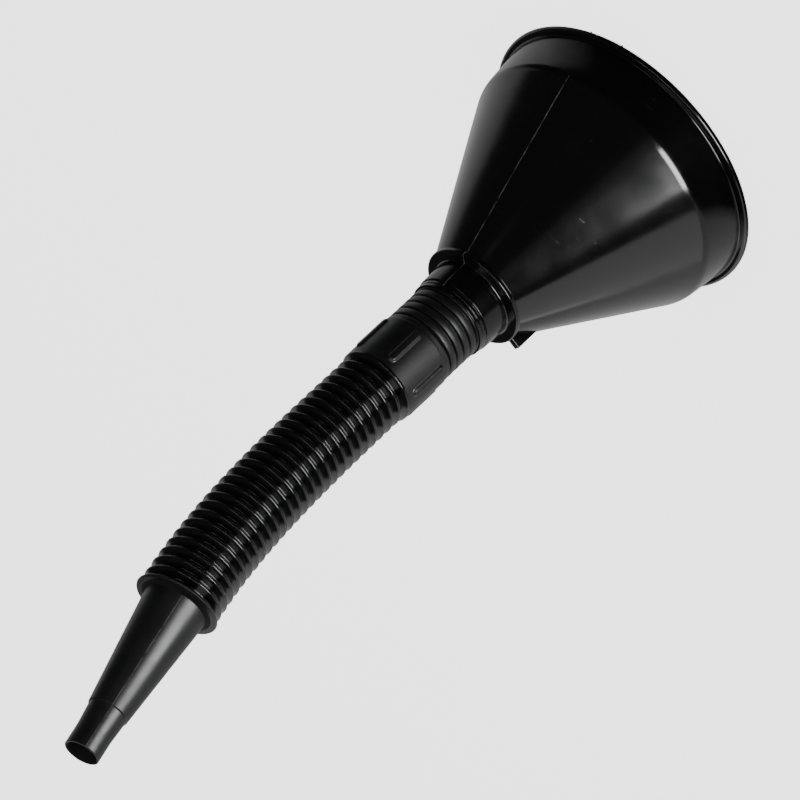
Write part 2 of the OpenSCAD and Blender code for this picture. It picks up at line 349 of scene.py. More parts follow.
def moulded_grain():
    """Group: the skin of moulded plastic, as a height for bump and a variation for roughness."""
    name = "moulded_grain"
    if name in bpy.data.node_groups:
        return bpy.data.node_groups[name]
    group = bpy.data.node_groups.new(name, "ShaderNodeTree")
    socket(group, "Place", "NodeSocketVector")
    socket(group, "Grain scale", "NodeSocketFloat", 3000.0)
    socket(group, "Grain depth", "NodeSocketFloat", 0.5)
    socket(group, "Sink scale", "NodeSocketFloat", 40.0)
    socket(group, "Sink depth", "NodeSocketFloat", 0.5)
    socket(group, "Height", "NodeSocketFloat", output=True)
    socket(group, "Variation", "NodeSocketFloat", output=True)
    bench = NodeBench(group)
    given = bench.add("NodeGroupInput")
    result = bench.add("NodeGroupOutput")
    place = given.outputs["Place"]
    fine = bench.noise(place, given.outputs["Grain scale"], 2.0, 0.6)
    sink = bench.noise(place, given.outputs["Sink scale"], 1.0, 0.4)
    low = bench.maths("MULTIPLY", fine, given.outputs["Grain depth"])
    high = bench.maths("MULTIPLY", sink, given.outputs["Sink depth"])
    bench.join(bench.maths("ADD", low, high), result.inputs["Height"])
    patches = bench.noise(place, 60.0, 4.0, 0.6)
    bench.join(bench.remap(patches, 0.3, 0.7), result.inputs["Variation"])
    return group


def handling_marks():
    """Group: masks for dust specks and for fine scratches from handling."""
    name = "handling_marks"
    if name in bpy.data.node_groups:
        return bpy.data.node_groups[name]
    group = bpy.data.node_groups.new(name, "ShaderNodeTree")
    socket(group, "Place", "NodeSocketVector")
    socket(group, "Speck amount", "NodeSocketFloat", 0.3)
    socket(group, "Scratch amount", "NodeSocketFloat", 0.3)
    socket(group, "Specks", "NodeSocketFloat", output=True)
    socket(group, "Scratches", "NodeSocketFloat", output=True)
    bench = NodeBench(group)
    given = bench.add("NodeGroupInput")
    result = bench.add("NodeGroupOutput")
    place = given.outputs["Place"]
    cells = bench.add("ShaderNodeTexVoronoi", feature="F1")
    bench.join(place, cells.inputs["Vector"])
    cells.inputs["Scale"].default_value = 420.0
    dots = bench.remap(cells.outputs["Distance"], 0.05, 0.12, 1.0, 0.0)
    some = bench.remap(bench.noise(place, 190.0, 3.0, 0.7), 0.62, 0.7)
    specks = bench.maths("MULTIPLY", bench.maths("MULTIPLY", dots, some), given.outputs["Speck amount"], clamp=True)
    bench.join(specks, result.inputs["Specks"])
    stretch = bench.add("ShaderNodeMapping", vector_type="POINT")
    stretch.inputs["Rotation"].default_value = (0.4, 0.9, 0.6)
    stretch.inputs["Scale"].default_value = (6.0, 900.0, 900.0)
    bench.join(place, stretch.inputs["Vector"])
    lines = bench.remap(bench.noise(stretch.outputs["Vector"], 1.0, 2.0, 0.5), 0.66, 0.72)
    where = bench.remap(bench.noise(place, 25.0, 2.0, 0.5), 0.5, 0.62)
    shown = bench.maths("MULTIPLY", lines, where)
    scratches = bench.maths("MULTIPLY", shown, given.outputs["Scratch amount"], clamp=True)
    bench.join(scratches, result.inputs["Scratches"])
    return group


# ---------------------------------------------------------------- materials

def place_group(bench, group, place, **values):
    """Puts a shader group in a material, fed with a place and its own values."""
    node = bench.add("ShaderNodeGroup", node_tree=group)
    bench.join(place, node.inputs["Place"])
    for name, value in values.items():
        node.inputs[name.replace("_", " ").capitalize()].default_value = value
    return node


def black_plastic(name, base, dust, rough, rough_spread, grain, specks, scratches, on_surface):
    """Moulded black plastic with a skin, dust and handling marks. on_surface reads the resting place."""
    if name in bpy.data.materials:
        return bpy.data.materials[name]
    material = bpy.data.materials.new(name)
    material.use_nodes = True
    bench = NodeBench(material.node_tree)
    shader = material.node_tree.nodes["Principled BSDF"]
    if on_surface:
        place = bench.add("ShaderNodeAttribute", attribute_name="rest_place").outputs["Vector"]
    else:
        place = bench.add("ShaderNodeTexCoord").outputs["Object"]
    skin = place_group(bench, moulded_grain(), place, **grain)
    marks = place_group(bench, handling_marks(), place, speck_amount=specks, scratch_amount=scratches)
    tint = bench.add("ShaderNodeMix", data_type="RGBA")
    tint.inputs["A"].default_value = (*base, 1)
    tint.inputs["B"].default_value = (*dust, 1)
    pale_lines = bench.maths("MULTIPLY", marks.outputs["Scratches"], 0.3)
    bench.join(bench.maths("ADD", marks.outputs["Specks"], pale_lines), tint.inputs["Factor"])
    bench.join(tint.outputs["Result"], shader.inputs["Base Color"])
    spread = bench.maths("MULTIPLY", skin.outputs["Variation"], rough_spread)
    worn = bench.maths("MULTIPLY", bench.maths("ADD", marks.outputs["Scratches"], marks.outputs["Specks"]), 0.3)
    bench.join(bench.maths("ADD", bench.maths("ADD", spread, rough), worn), shader.inputs["Roughness"])
    shader.inputs["IOR"].default_value = 1.5
    bump = bench.add("ShaderNodeBump")
    bump.inputs["Distance"].default_value = 0.0001
    bump.inputs["Strength"].default_value = 0.6
    lines = bench.maths("MULTIPLY", marks.outputs["Scratches"], -0.3)
    bench.join(bench.maths("ADD", skin.outputs["Height"], lines), bump.inputs["Height"])
    bench.join(bump.outputs["Normal"], shader.inputs["Normal"])
    return material


def bowl_plastic():
    """Glossy black plastic of the bowl."""
    f = bpy.context.scene.funnel_finish
    return black_plastic(
        "glossy_bowl_plastic", f.bowl, f.dust, 0.12, 0.05,
        {"grain_scale": 2500.0, "grain_depth": 0.02, "sink_scale": 45.0, "sink_depth": 1.2}, 0.35, 0.3, False,
    )


def spout_plastic():
    """Satin black plastic of the neck, collar and nozzle."""
    f = bpy.context.scene.funnel_finish
    return black_plastic(
        "satin_spout_plastic", f.spout, f.dust, 0.34, 0.08,
        {"grain_scale": 3200.0, "grain_depth": 0.35, "sink_scale": 70.0, "sink_depth": 0.6}, 0.3, 0.35, True,
    )


def bore_painted_shade_plastic():
    """Matt black plastic of the nozzle's bore, which no mould has polished, with its reflection turned down as
    painted shade inside the bore.
    """
    f = bpy.context.scene.funnel_finish
    material = black_plastic(
        "matt_bore_plastic", f.spout, f.dust, 0.6, 0.1,
        {"grain_scale": 900.0, "grain_depth": 0.5, "sink_scale": 150.0, "sink_depth": 0.4}, 0.3, 0.2, True,
    )
    # painted shade: a low specular level darkens the bore as shade would
    material.node_tree.nodes["Principled BSDF"].inputs["Specular IOR Level"].default_value = 0.15
    return material


def hose_plastic():
    """Black plastic of the hose, a little glossier where it is stretched over the mould's ribs."""
    f = bpy.context.scene.funnel_finish
    return black_plastic(
        "hose_plastic", f.spout, f.dust, 0.14, 0.05,
        {"grain_scale": 3200.0, "grain_depth": 0.06, "sink_scale": 90.0, "sink_depth": 0.3}, 0.3, 0.2, True,
    )


def seam_glint_plastic():
    """The edge left where flash was trimmed off a parting line, with a painted highlight: paler in broken stretches,
    standing in for the glint along its ridge.
    """
    name = "trimmed_seam_plastic"
    if name in bpy.data.materials:
        return bpy.data.materials[name]
    material = bpy.data.materials.new(name)
    material.use_nodes = True
    bench = NodeBench(material.node_tree)
    shader = material.node_tree.nodes["Principled BSDF"]
    place = bench.add("ShaderNodeTexCoord").outputs["Object"]
    finish = bpy.context.scene.funnel_finish
    # painted highlight: the pale seam colour, mixed in broken stretches, paints the glint along the ridge
    tint = bench.add("ShaderNodeMix", data_type="RGBA")
    tint.inputs["A"].default_value = (*finish.bowl, 1)
    tint.inputs["B"].default_value = (*finish.seam_glint_colour, 1)
    bench.join(bench.remap(bench.noise(place, 160.0, 3.0, 0.7), 0.38, 0.62), tint.inputs["Factor"])
    bench.join(tint.outputs["Result"], shader.inputs["Base Color"])
    bench.join(bench.remap(bench.noise(place, 700.0, 2.0), 0.3, 0.7, 0.35, 0.6), shader.inputs["Roughness"])
    return material


def strainer_plastic():
    """Black plastic of the strainer's ring."""
    f = bpy.context.scene.funnel_finish
    return black_plastic(
        "strainer_plastic", f.strainer, f.dust, 0.3, 0.08,
        {"grain_scale": 2500.0, "grain_depth": 0.2, "sink_scale": 60.0, "sink_depth": 0.5}, 0.3, 0.3, False,
    )


def wire_metal():
    """Drawn brass wire, a little tarnished."""
    name = "gauze_brass"
    if name in bpy.data.materials:
        return bpy.data.materials[name]
    material = bpy.data.materials.new(name)
    material.use_nodes = True
    bench = NodeBench(material.node_tree)
    shader = material.node_tree.nodes["Principled BSDF"]
    place = bench.add("ShaderNodeTexCoord").outputs["Object"]
    tarnish = bench.remap(bench.noise(place, 120.0, 4.0, 0.6), 0.4, 0.65)
    tint = bench.add("ShaderNodeMix", data_type="RGBA")
    wire = bpy.context.scene.funnel_finish.wire
    tint.inputs["A"].default_value = (*wire, 1)
    tint.inputs["B"].default_value = (wire[0] * 0.45, wire[1] * 0.4, wire[2] * 0.4, 1)
    bench.join(tarnish, tint.inputs["Factor"])
    bench.join(tint.outputs["Result"], shader.inputs["Base Color"])
    bench.join(bench.remap(tarnish, 0.0, 1.0, 0.28, 0.5), shader.inputs["Roughness"])
    shader.inputs["Metallic"].default_value = 1.0
    return material


# ---------------------------------------------------------------- the bowl

def bowl_outside(s):
    """Outer outline of the bowl, from the rim's face to the socket's end, and its key heights and radii."""
    rim = radius_of("funnel_bowl")
    socket_end = top_of("funnel_bowl")
    bore = radius_of("spout_neck") + s.bore_clearance
    socket_r = bore + s.wall
    seat = bottom_of("spout_neck") - SEAT_GAP
    flange_low = seat - s.flange_thickness
    cone_end = socket_r + CONE_END_OUT
    flange_r = cone_end + s.flange_overhang
    band = rim - s.lip_overhang
    lip = s.lip_thickness
    lip_round = lip * 0.48
    bead_r = socket_r - s.bead_inset
    bead_low = socket_end - s.bead_height
    corners = [
        (band - s.wall, 0.0), (rim, 0.0), (rim, lip), (band, lip),
        (band - s.band_draft, s.band_height), (cone_end, flange_low),
        (flange_r, flange_low), (flange_r, seat), (socket_r, seat), (socket_r - 0.35 * MM, bead_low),
        (bead_r - 0.35 * MM, bead_low + 0.25 * MM), (bead_r, bead_low + 0.9 * MM),
        (bead_r, bead_low + 2.3 * MM), (bead_r - 0.35 * MM, bead_low + 2.6 * MM),
        (bead_r - 0.1 * MM, bead_low + 3.0 * MM), (bead_r - 0.1 * MM, socket_end), (bore, socket_end),
    ]
    radii = [
        lip_round, lip_round, 0.8 * MM, s.shoulder_radius, 0.5 * MM,
        0.9 * MM, 0.9 * MM, 1.0 * MM, 0.6 * MM, 0.2 * MM, 0.5 * MM, 0.4 * MM, 0.15 * MM, 0.2 * MM, 1.2 * MM,
    ]
    return rounded(corners, radii, 7), bore, seat, flange_low


def build_bowl(s):
    """The bowl's wall, one closed shell from the rim lip to the socket."""
    outside, bore, seat, flange_low = bowl_outside(s)
    rim = radius_of("funnel_bowl")
    band = rim - s.lip_overhang
    cone_end = bore + s.wall + CONE_END_OUT
    lean = math.atan2(band - s.band_draft - cone_end, flange_low - s.band_height)
    thick = s.wall / math.cos(lean)
    shoulder_in = band - s.band_draft - s.wall
    drain_z = flange_low - s.drain_height
    drain_r = cone_end + s.drain_height * math.tan(lean) - thick
    inside = [
        (bore, top_of("funnel_bowl")), (bore, seat), (s.outlet_radius, seat), (s.outlet_radius, flange_low),
        (drain_r, drain_z), (shoulder_in, s.band_height - 0.4 * MM), (band - s.wall, 0.0),
    ]
    inside = rounded(inside, [0.3 * MM, 0.6 * MM, 0.8 * MM, 3 * MM, s.shoulder_radius - s.wall], 7)
    bm = lathe(outside[:-1] + inside[:-1], s.segments)
    return new_piece("bowl_shell", bm, bowl_plastic())


def build_bowl_seams(s):
    """The parting line of the bowl's mould, on both sides, from the shoulder to just before the bead."""
    outside = bowl_outside(s)[0]
    start = next(i for i, (r, z) in enumerate(outside) if z > s.band_height * 0.97)
    bead_points = 24
    pieces = []
    for i, turn in enumerate((s.seam_angle, s.seam_angle + math.pi)):
        bm = seam_ridge(outside[start:-bead_points], 0.1 * MM, SEAM_SUNK, 0.3 * MM, turn)
        # the seam wears the pale seam colour, a painted highlight along its ridge
        pieces.append(new_piece(f"bowl_seam_{i + 1}", bm, seam_glint_plastic()))
    return pieces


def build_flash(s):
    """The crumbs of flash left on the lip, each one sunk into its edge."""
    rim = radius_of("funnel_bowl")
    # direction in degrees, then height and radius in millimetres
    crumbs = [(-60.0, 0.5, 0.55), (-59.0, 1.1, 0.3), (-49.0, 1.6, 0.35), (-46.0, 0.6, 0.45), (-40.0, 1.5, 0.3)]
    bm = bmesh.new()
    for degrees, height, size in crumbs:
        turn = math.radians(degrees)
        centre = Vector((math.cos(turn), math.sin(turn), 0)) * rim + Vector((0, 0, height * MM))
        shape = Matrix.Rotation(turn, 4, "Z") @ Matrix.Diagonal((1.0, 0.75, 0.8, 1.0))
        bmesh.ops.create_icosphere(bm, subdivisions=2, radius=size * MM, matrix=Matrix.Translation(centre) @ shape)
    # each crumb wears the pale seam colour, a painted highlight on the flash
    return new_piece("lip_flash", bm, seam_glint_plastic())


def build_lug(s):
    """The small web between the flange and the cone."""
    outside, bore, seat, flange_low = bowl_outside(s)
    rim = radius_of("funnel_bowl")
    shoulder = rim - s.lip_overhang - s.band_draft
    cone_end = bore + s.wall + CONE_END_OUT
    lug_r = cone_end + s.flange_overhang + s.lug_reach
    slope = (flange_low - s.band_height) / (shoulder - cone_end)
    low = s.band_height + (shoulder - lug_r) * slope
    bm = bmesh.new()
    corners = [(cone_end - MM, flange_low), (lug_r, flange_low), (lug_r, low), (lug_r - MM, low)]
    face = bm.faces.new([bm.verts.new((r, -s.lug_thickness / 2, z)) for r, z in corners])
    side = bmesh.ops.extrude_face_region(bm, geom=[face])["geom"]
    moved = [g for g in side if isinstance(g, bmesh.types.BMVert)]
    bmesh.ops.translate(bm, vec=(0, s.lug_thickness, 0), verts=moved)
    bmesh.ops.recalc_face_normals(bm, faces=bm.faces)
    bmesh.ops.bevel(
        bm, geom=list(bm.edges), offset=0.45 * MM, offset_type="OFFSET", segments=3, profile=0.5,
        affect="EDGES", clamp_overlap=True, material=-1,
    )
    bmesh.ops.rotate(bm, cent=(0, 0, 0), matrix=Matrix.Rotation(s.lug_angle, 3, "Z"), verts=bm.verts)
    return new_piece("bowl_lug", bm, bowl_plastic())


# ---------------------------------------------------------------- the strainer

def build_strainer():
    """The strainer's ring with its crossed bars and lifting knob, taken from the CAD shape with doubled points merged
    and flat faces joined.
    """
    source = frame["nodes"]["strainer_ring"]
    bm = bmesh.new()
    bm.from_mesh(source.data)
    bmesh.ops.remove_doubles(bm, verts=bm.verts, dist=0.01 * MM)
    bmesh.ops.dissolve_limit(bm, angle_limit=math.radians(0.5), verts=bm.verts, edges=bm.edges)
    return new_piece("strainer_frame", bm, strainer_plastic())


def build_gauze():
    """Woven wires, each rising over and under the ones across it."""
    low, high = BOXES["strainer_gauze"]
    radius = high.y - 0.4 * MM
    middle = (low.z + high.z) / 2
    pitch = 1.25 * MM
    wire = 0.14 * MM
    count = int(radius / pitch)
    bm = bmesh.new()
    for across in (0, 1):
        for i in range(-count, count + 1):
            offset = i * pitch
            half = math.sqrt(radius ** 2 - offset ** 2)
            crossings = int(half / pitch)
            stations = [(-half, 0.0)]
            for j in range(-crossings, crossings + 1):
                side = 1 if (i + j + across) % 2 else -1
                stations.append((j * pitch, side * wire * 0.95))
            stations.append((half, 0.0))
            ring = None
            for along, rise in stations:
                loop = [
                    bm.verts.new((along, offset + wire * math.cos(a), middle + rise + wire * math.sin(a)))
                    for a in (math.radians(45 + 90 * n) for n in range(4))
                ]
                if across:
                    for v in loop:
                        v.co.x, v.co.y = v.co.y, v.co.x
                if ring:
                    for n in range(4):
                        bm.faces.new((ring[n], ring[(n + 1) % 4], loop[(n + 1) % 4], loop[n]))
                else:
                    bm.faces.new(loop)
                ring = loop
            bm.faces.new(ring)
    bmesh.ops.recalc_face_normals(bm, faces=bm.faces)
    return new_piece("gauze_weave", bm, wire_metal(), sharp=60.0)


# ---------------------------------------------------------------- the spout

def build_neck(s):
    """The ribbed neck that pushes into the bowl's socket."""
    low, high = bottom_of("spout_neck"), top_of("spout_neck")
    rib = radius_of("spout_neck")
    core = rib - s.rib_depth
    top, foot = s.rib_pitch * 0.36, s.rib_pitch * 0.47  # half the width of a rib, at its top and at its foot
    corners, radii = [(core, low + 0.2 * MM)], []
    for i in range(s.rib_count):
        z = low + s.rib_lead + i * s.rib_pitch
        corners += [
            (core, z - foot), (rib - 0.2 * MM, z - top), (rib, z), (rib - 0.1 * MM, z + top), (core, z + foot),
        ]
        radii += [0.15 * MM, 0.6 * MM, 6 * MM, 0.35 * MM, 0.15 * MM]
    corners += [(core, high), (core - s.wall, high), (core - s.wall, low), (core - 0.3 * MM, low)]
    outside = rounded(corners, radii + [0, 0, 0], 4)
    return new_piece("push_fit_neck", lathe(outside, s.segments), spout_plastic(), sharp=50.0)


def grip_rise(s, place):
    """How far the collar's skin stands out at a place, because of the nearest grip rib."""
    turn = math.atan2(place.y, place.x) - s.grip_angle
    share = FULL_TURN / s.grip_count
    turn = (turn + share / 2) % share - share / 2
    middle = (bottom_of("spout_collar") + COLLAR_END) / 2 + s.collar_step_length / 4
    beyond = max(0.0, abs(place.z - middle) - (s.grip_length - s.grip_width) / 2)
    away = math.hypot(turn * s.collar_radius, beyond) / (s.grip_width / 2)
    foot, run = 1.22, 0.62  # where a rib's side ends and how long it is, as shares of half the rib's width
    slope = min(1.0, max(0.0, (foot - away) / run))
    return s.grip_height * slope * slope * (3 - 2 * slope)


def build_collar(s):
    """The grip collar, with its raised ribs pushed out of a finely divided skin."""
    low = bottom_of("spout_collar")
    core = radius_of("spout_neck") - s.rib_depth
    full = s.collar_radius
    stepped = full - s.collar_step
    step_z = low + s.collar_step_length
    end = COLLAR_END - MM
    skin = rounded(
        [(core, low), (stepped, low + 2 * MM), (stepped, step_z - s.collar_step), (full, step_z), (full, end)],
        [1.2 * MM, 0.3 * MM, 0.3 * MM], 5,
    )
    body = [(full, step_z + (end - step_z) * i / COLLAR_ROWS) for i in range(2, COLLAR_ROWS + 1)]
    bore = radius_of("hose_ring_01") - s.crest_depth - s.wall
    outline = skin[:-1] + body + [(bore, end), (bore, low)]
    bm = lathe(outline, COLLAR_SIDES)
    for v in bm.verts:
        radius = math.hypot(v.co.x, v.co.y)
        if radius > full - 0.05 * MM:
            rise = 1 + grip_rise(s, v.co) / radius
            v.co.x, v.co.y = v.co.x * rise, v.co.y * rise
    bmesh.ops.recalc_face_normals(bm, faces=bm.faces)
    return new_piece("grip_collar", bm, spout_plastic(), sharp=60.0)


def fold_outline(s, start_r, stop_r, foot_r):
    """Outer outline of one valley, between the tops of two crests: (radius, distance along the hose)."""
    half = CREST_PITCH / 2

    def side(top_r):
        """Crest top to valley floor, as two arcs joined by their common tangent."""
        crest = Vector((s.crest_flat / 2, top_r - s.crest_radius))
        valley = Vector((half, foot_r + s.valley_radius))
        line = valley - crest
        slope = math.atan2(-line.y, line.x)
        steep = slope + math.asin((s.crest_radius + s.valley_radius) / line.length)
        degrees = math.degrees(steep)
        top = [(y, x) for x, y in arc(crest, s.crest_radius, 90, 90 - degrees, 6)]
        floor = [(y, x) for x, y in arc(valley, s.valley_radius, 270 - degrees, 270, 6)]
        return [(top_r, 0.0)] + top + floor

    going = side(start_r)
    coming = [(r, CREST_PITCH - u) for r, u in side(stop_r)][::-1]
    return going + coming[1:]


def fold_bend(k, place):
    """Moves a point of a straight sleeve to where the resting hose has it, turned about its valley."""
    share = min(1.0, max(0.0, place.z / CREST_PITCH))
    turn = share * share * (3 - 2 * share)
    tilt = CREST_TILTS[k] + (CREST_TILTS[k + 1] - CREST_TILTS[k]) * turn
    local = Vector((place.x, place.y, place.z - CREST_PITCH / 2))
    return FOLDS[k] + Matrix.Rotation(-tilt, 3, "Y") @ local


def build_fold(s, k):
    """One valley of the hose, from the top of crest k to the top of the next one."""
    last = len(FOLDS) - 1
    crest_r = [radius_of(n) for n in HOSE_RINGS]
    start_r = s.collar_radius if k == 0 else crest_r[k - 1]
    stop_r = s.flange_radius if k == last else crest_r[k]
    foot_r = min(crest_r[max(0, k - 1)], crest_r[min(k, last - 1)]) - s.crest_depth
    outline = fold_outline(s, start_r, stop_r, foot_r)
    if k == 0:
        outline = [(start_r, -MM)] + outline
    inner = foot_r - s.wall
    apex = 1.5 * MM
    inside = [
        (stop_r - apex, CREST_PITCH), (inner, CREST_PITCH * 0.72), (inner, CREST_PITCH * 0.28),
        (start_r - apex, 0.0),
    ]
    if k == 0:
        inside = inside[:-1] + [(inner, -MM)]
    bm = lathe(outline + inside, s.segments)
    for v in bm.verts:
        v.co = fold_bend(k, v.co)
    return new_piece(f"hose_fold_{k + 1:02d}", bm, hose_plastic(), sharp=50.0)


def nozzle_outline(s):
    """Outer outline of the nozzle, from the top of its flange's edge to the tip, around its own axis."""
    face = s.flange_thickness / 2
    step_z = face + s.nozzle_length
    tip_z = step_z + s.tip_length
    tip_r = NOZZLE_TIP["dims"]["r_mm"] * MM
    straight = NOZZLE_TIP["dims"]["length_mm"] * MM
    edge = [(s.flange_radius, 0.0)] + arc((s.flange_radius - face, 0.1 * MM), face - 0.1 * MM, 0, 90, 6)
    rest = rounded(
        [
            edge[-1], (s.root_radius, face), (s.end_radius, step_z),
            (s.end_radius - s.step_height, step_z + 0.4 * MM),
            (tip_r, tip_z - straight), (tip_r, tip_z), (tip_r - s.wall, tip_z),
        ],
        [s.root_fillet, 0.25 * MM, 0.25 * MM, 40 * MM, 0.35 * MM], 6,
    )
    return edge[:-1] + rest, tip_z, step_z, face, tip_r


def build_nozzle(s):
    """The end flange and the stepped nozzle, open at its tip."""
    outside, tip_z, step_z, face, tip_r = nozzle_outline(s)
    inside = [
        (tip_r - s.wall, tip_z - 0.3 * MM), (s.end_radius - s.step_height - s.wall, step_z),
        (s.root_radius - s.wall, face + s.root_fillet), (s.flange_radius - 1.5 * MM, 0.0),
    ]
    bm = lathe(outside[:-1] + [(tip_r - s.wall + 0.3 * MM, tip_z)] + inside, s.segments)
    # faces turned inwards take the bore's material, painted shade inside the nozzle
    for face in bm.faces:
        centre = face.calc_center_median()
        if face.normal.x * centre.x + face.normal.y * centre.y < 0:
            face.material_index = 1
    bmesh.ops.transform(bm, matrix=crest_matrix(len(FOLDS)), verts=bm.verts)
    shell = new_piece("nozzle_shell", bm, spout_plastic(), sharp=50.0)
    shell.data.materials.append(bore_painted_shade_plastic())
    return shell


def build_nozzle_seams(s):
    """The parting line along both sides of the nozzle."""
    outside = nozzle_outline(s)[0]
    run = [p for p in outside if p[1] > s.flange_thickness / 2 + s.root_fillet * 0.8][:-4]
    pieces = []
    for i, turn in enumerate((s.seam_angle, s.seam_angle + math.pi)):
        bm = seam_ridge(run, 0.16 * MM, SEAM_SUNK, 0.34 * MM, turn)
        bmesh.ops.transform(bm, matrix=crest_matrix(len(FOLDS)), verts=bm.verts)
        # the seam wears the pale seam colour, a painted highlight along its ridge
        pieces.append(new_piece(f"nozzle_seam_{i + 1}", bm, seam_glint_plastic()))
    return pieces


# ---------------------------------------------------------------- the studio

VIEW_ELEVATION = 28.785
VIEW_ROLL = 133.05
VIEW_DISTANCE = 2.627
VIEW_AIM = (-0.0128, 0.0, 0.1898)
VIEW_LENS = 242.56
FLOOR_GLOW = 2.4
# black sheets on the floor that show only in reflections: painted dark reflections on the glossy plastic
DARK_REFLECTION_SHEETS = {  # start and end of the arc, the length of each soft end in degrees, and the two radii
    "near_cloth": (-152.0, -15.0, 9.0, 30.0, 0.0805, 0.12),
    "far_cloth": (-152.0, 20.0, 9.0, 20.0, 0.12, 4.0),
}
ROOM_GLOW = 3.2
ROOM_DIM = (0.035, 0.035, 0.037, 1)


def look(piece, place, aim):
    """Puts an object at a place and turns its -Z to a point."""
    piece.location = place
    piece.rotation_euler = (Vector(aim) - Vector(place)).to_track_quat("-Z", "Y").to_euler()


def soft_light(name, azimuth, elevation, distance, size, radiance, aim=(0, 0, 0.2), on_floor=True, in_gloss=True):
    """A rectangular light card around the object. Azimuth is measured from +X towards +Y."""
    data = bpy.data.lights.new(name, "AREA")
    data.shape = "RECTANGLE"
    data.size, data.size_y = size
    data.energy = radiance * math.pi * size[0] * size[1]
    card = bpy.data.objects.new(name, data)
    a, e = math.radians(azimuth), math.radians(elevation)
    way = Vector((math.cos(a) * math.cos(e), math.sin(a) * math.cos(e), math.sin(e)))
    look(card, Vector(aim) + way * distance, aim)
    card.visible_camera = False
    card.visible_diffuse = on_floor
    card.visible_glossy = in_gloss
    bpy.context.scene.collection.objects.link(card)
    return card


def build_camera():
    """The camera, rolled about its axis so that the spout points down and to the left."""
    data = bpy.data.cameras.new("camera")
    data.lens = VIEW_LENS
    data.sensor_width = 36.0
    camera = bpy.data.objects.new("camera", data)
    e = math.radians(VIEW_ELEVATION)
    aim = Vector(VIEW_AIM)
    place = aim + Vector((0, -math.cos(e), math.sin(e))) * VIEW_DISTANCE
    upright = (aim - place).to_track_quat("-Z", "Y").to_matrix()
    camera.location = place
    camera.rotation_euler = (upright @ Matrix.Rotation(-math.radians(VIEW_ROLL), 3, "Z")).to_euler()
    bpy.context.scene.collection.objects.link(camera)
    bpy.context.scene.camera = camera


def floor_material():
    """A pale matt floor with a faint unevenness, lit up a little more where the camera sees it."""
    material = bpy.data.materials.new("pale_floor")
    material.use_nodes = True
    bench = NodeBench(material.node_tree)
    shader = material.node_tree.nodes["Principled BSDF"]
    place = bench.add("ShaderNodeTexCoord").outputs["Object"]
    base = bpy.context.scene.funnel_finish.floor
    tint = bench.add("ShaderNodeMix", data_type="RGBA")
    tint.inputs["A"].default_value = (*base, 1)
    tint.inputs["B"].default_value = (*(c * 0.97 for c in base), 1)
    bench.join(bench.noise(place, 3.0, 3.0), tint.inputs["Factor"])
    bench.join(tint.outputs["Result"], shader.inputs["Base Color"])
    shader.inputs["Roughness"].default_value = 0.8
    shader.inputs["Emission Color"].default_value = (1, 1, 1, 1)
    path = bench.add("ShaderNodeLightPath")
    bench.join(bench.maths("MULTIPLY", path.outputs["Is Camera Ray"], FLOOR_GLOW), shader.inputs["Emission Strength"])
    return material


def build_floor():
    """A plain pale floor that runs far past the object."""
    bm = bmesh.new()
    bmesh.ops.create_grid(bm, x_segments=2, y_segments=2, size=8.0)
    mesh = bpy.data.meshes.new("floor")
    bm.to_mesh(mesh)
    bm.free()
    floor = bpy.data.objects.new("floor", mesh)
    bpy.context.scene.collection.objects.link(floor)
    mesh.materials.append(floor_material())


def dark_reflection_material(name, start, stop, soft_start, soft_stop):
    """A black sheet that paints dark reflections on the glossy plastic, fading to the floor's colour at both ends of
    its arc.
    """
    dark_sheet = bpy.data.materials.new(name)
    dark_sheet.use_nodes = True
    bench = NodeBench(dark_sheet.node_tree)
    shader = dark_sheet.node_tree.nodes["Principled BSDF"]
    around = bench.add("ShaderNodeTexGradient", gradient_type="RADIAL")
    bench.join(bench.add("ShaderNodeTexCoord").outputs["Object"], around.inputs["Vector"])
    share = [a / 360 + 0.5 for a in (start, start + soft_start, stop - soft_stop, stop)]
    near = bench.remap(around.outputs["Fac"], share[0], share[1], 1.0, 0.0)
    far = bench.remap(around.outputs["Fac"], share[2], share[3], 0.0, 1.0)
    # painted dark reflection: black in the middle of the arc
    tint = bench.add("ShaderNodeMix", data_type="RGBA")
    tint.inputs["A"].default_value = (0.02, 0.02, 0.02, 1)
    tint.inputs["B"].default_value = (*bpy.context.scene.funnel_finish.floor, 1)
    bench.join(bench.maths("ADD", near, far, clamp=True), tint.inputs["Factor"])
    bench.join(tint.outputs["Result"], shader.inputs["Base Color"])
    shader.inputs["Roughness"].default_value = 1.0
    shader.inputs["Specular IOR Level"].default_value = 0.0
    return dark_sheet


def build_dark_reflection_sheet(name, start, stop, soft_start, soft_stop, inner, outer):
    """A black sheet on the floor, from the object towards the camera, that shows only in reflections: a painted dark
    reflection on the glossy plastic.
    """
    bm = bmesh.new()
    turn = math.radians(start)
    a, b = [bm.verts.new((math.cos(turn) * r, math.sin(turn) * r, 0.0004)) for r in (inner, outer)]
    edge = bm.edges.new((a, b))
    bmesh.ops.spin(
        bm, geom=[a, b, edge], cent=(0, 0, 0), axis=(0, 0, 1), dvec=(0, 0, 0),
        angle=math.radians(stop - start), steps=96, use_merge=False, use_normal_flip=False, use_duplicate=False,
    )
    mesh = bpy.data.meshes.new(name)
    bm.to_mesh(mesh)
    bm.free()
    dark_sheet = bpy.data.objects.new(name, mesh)
    bpy.context.scene.collection.objects.link(dark_sheet)
    mesh.materials.append(dark_reflection_material(name, start, stop, soft_start, soft_stop))
    # seen by glossy rays alone, so the sheet only paints dark reflections
    dark_sheet.visible_camera = dark_sheet.visible_diffuse = dark_sheet.visible_shadow = False


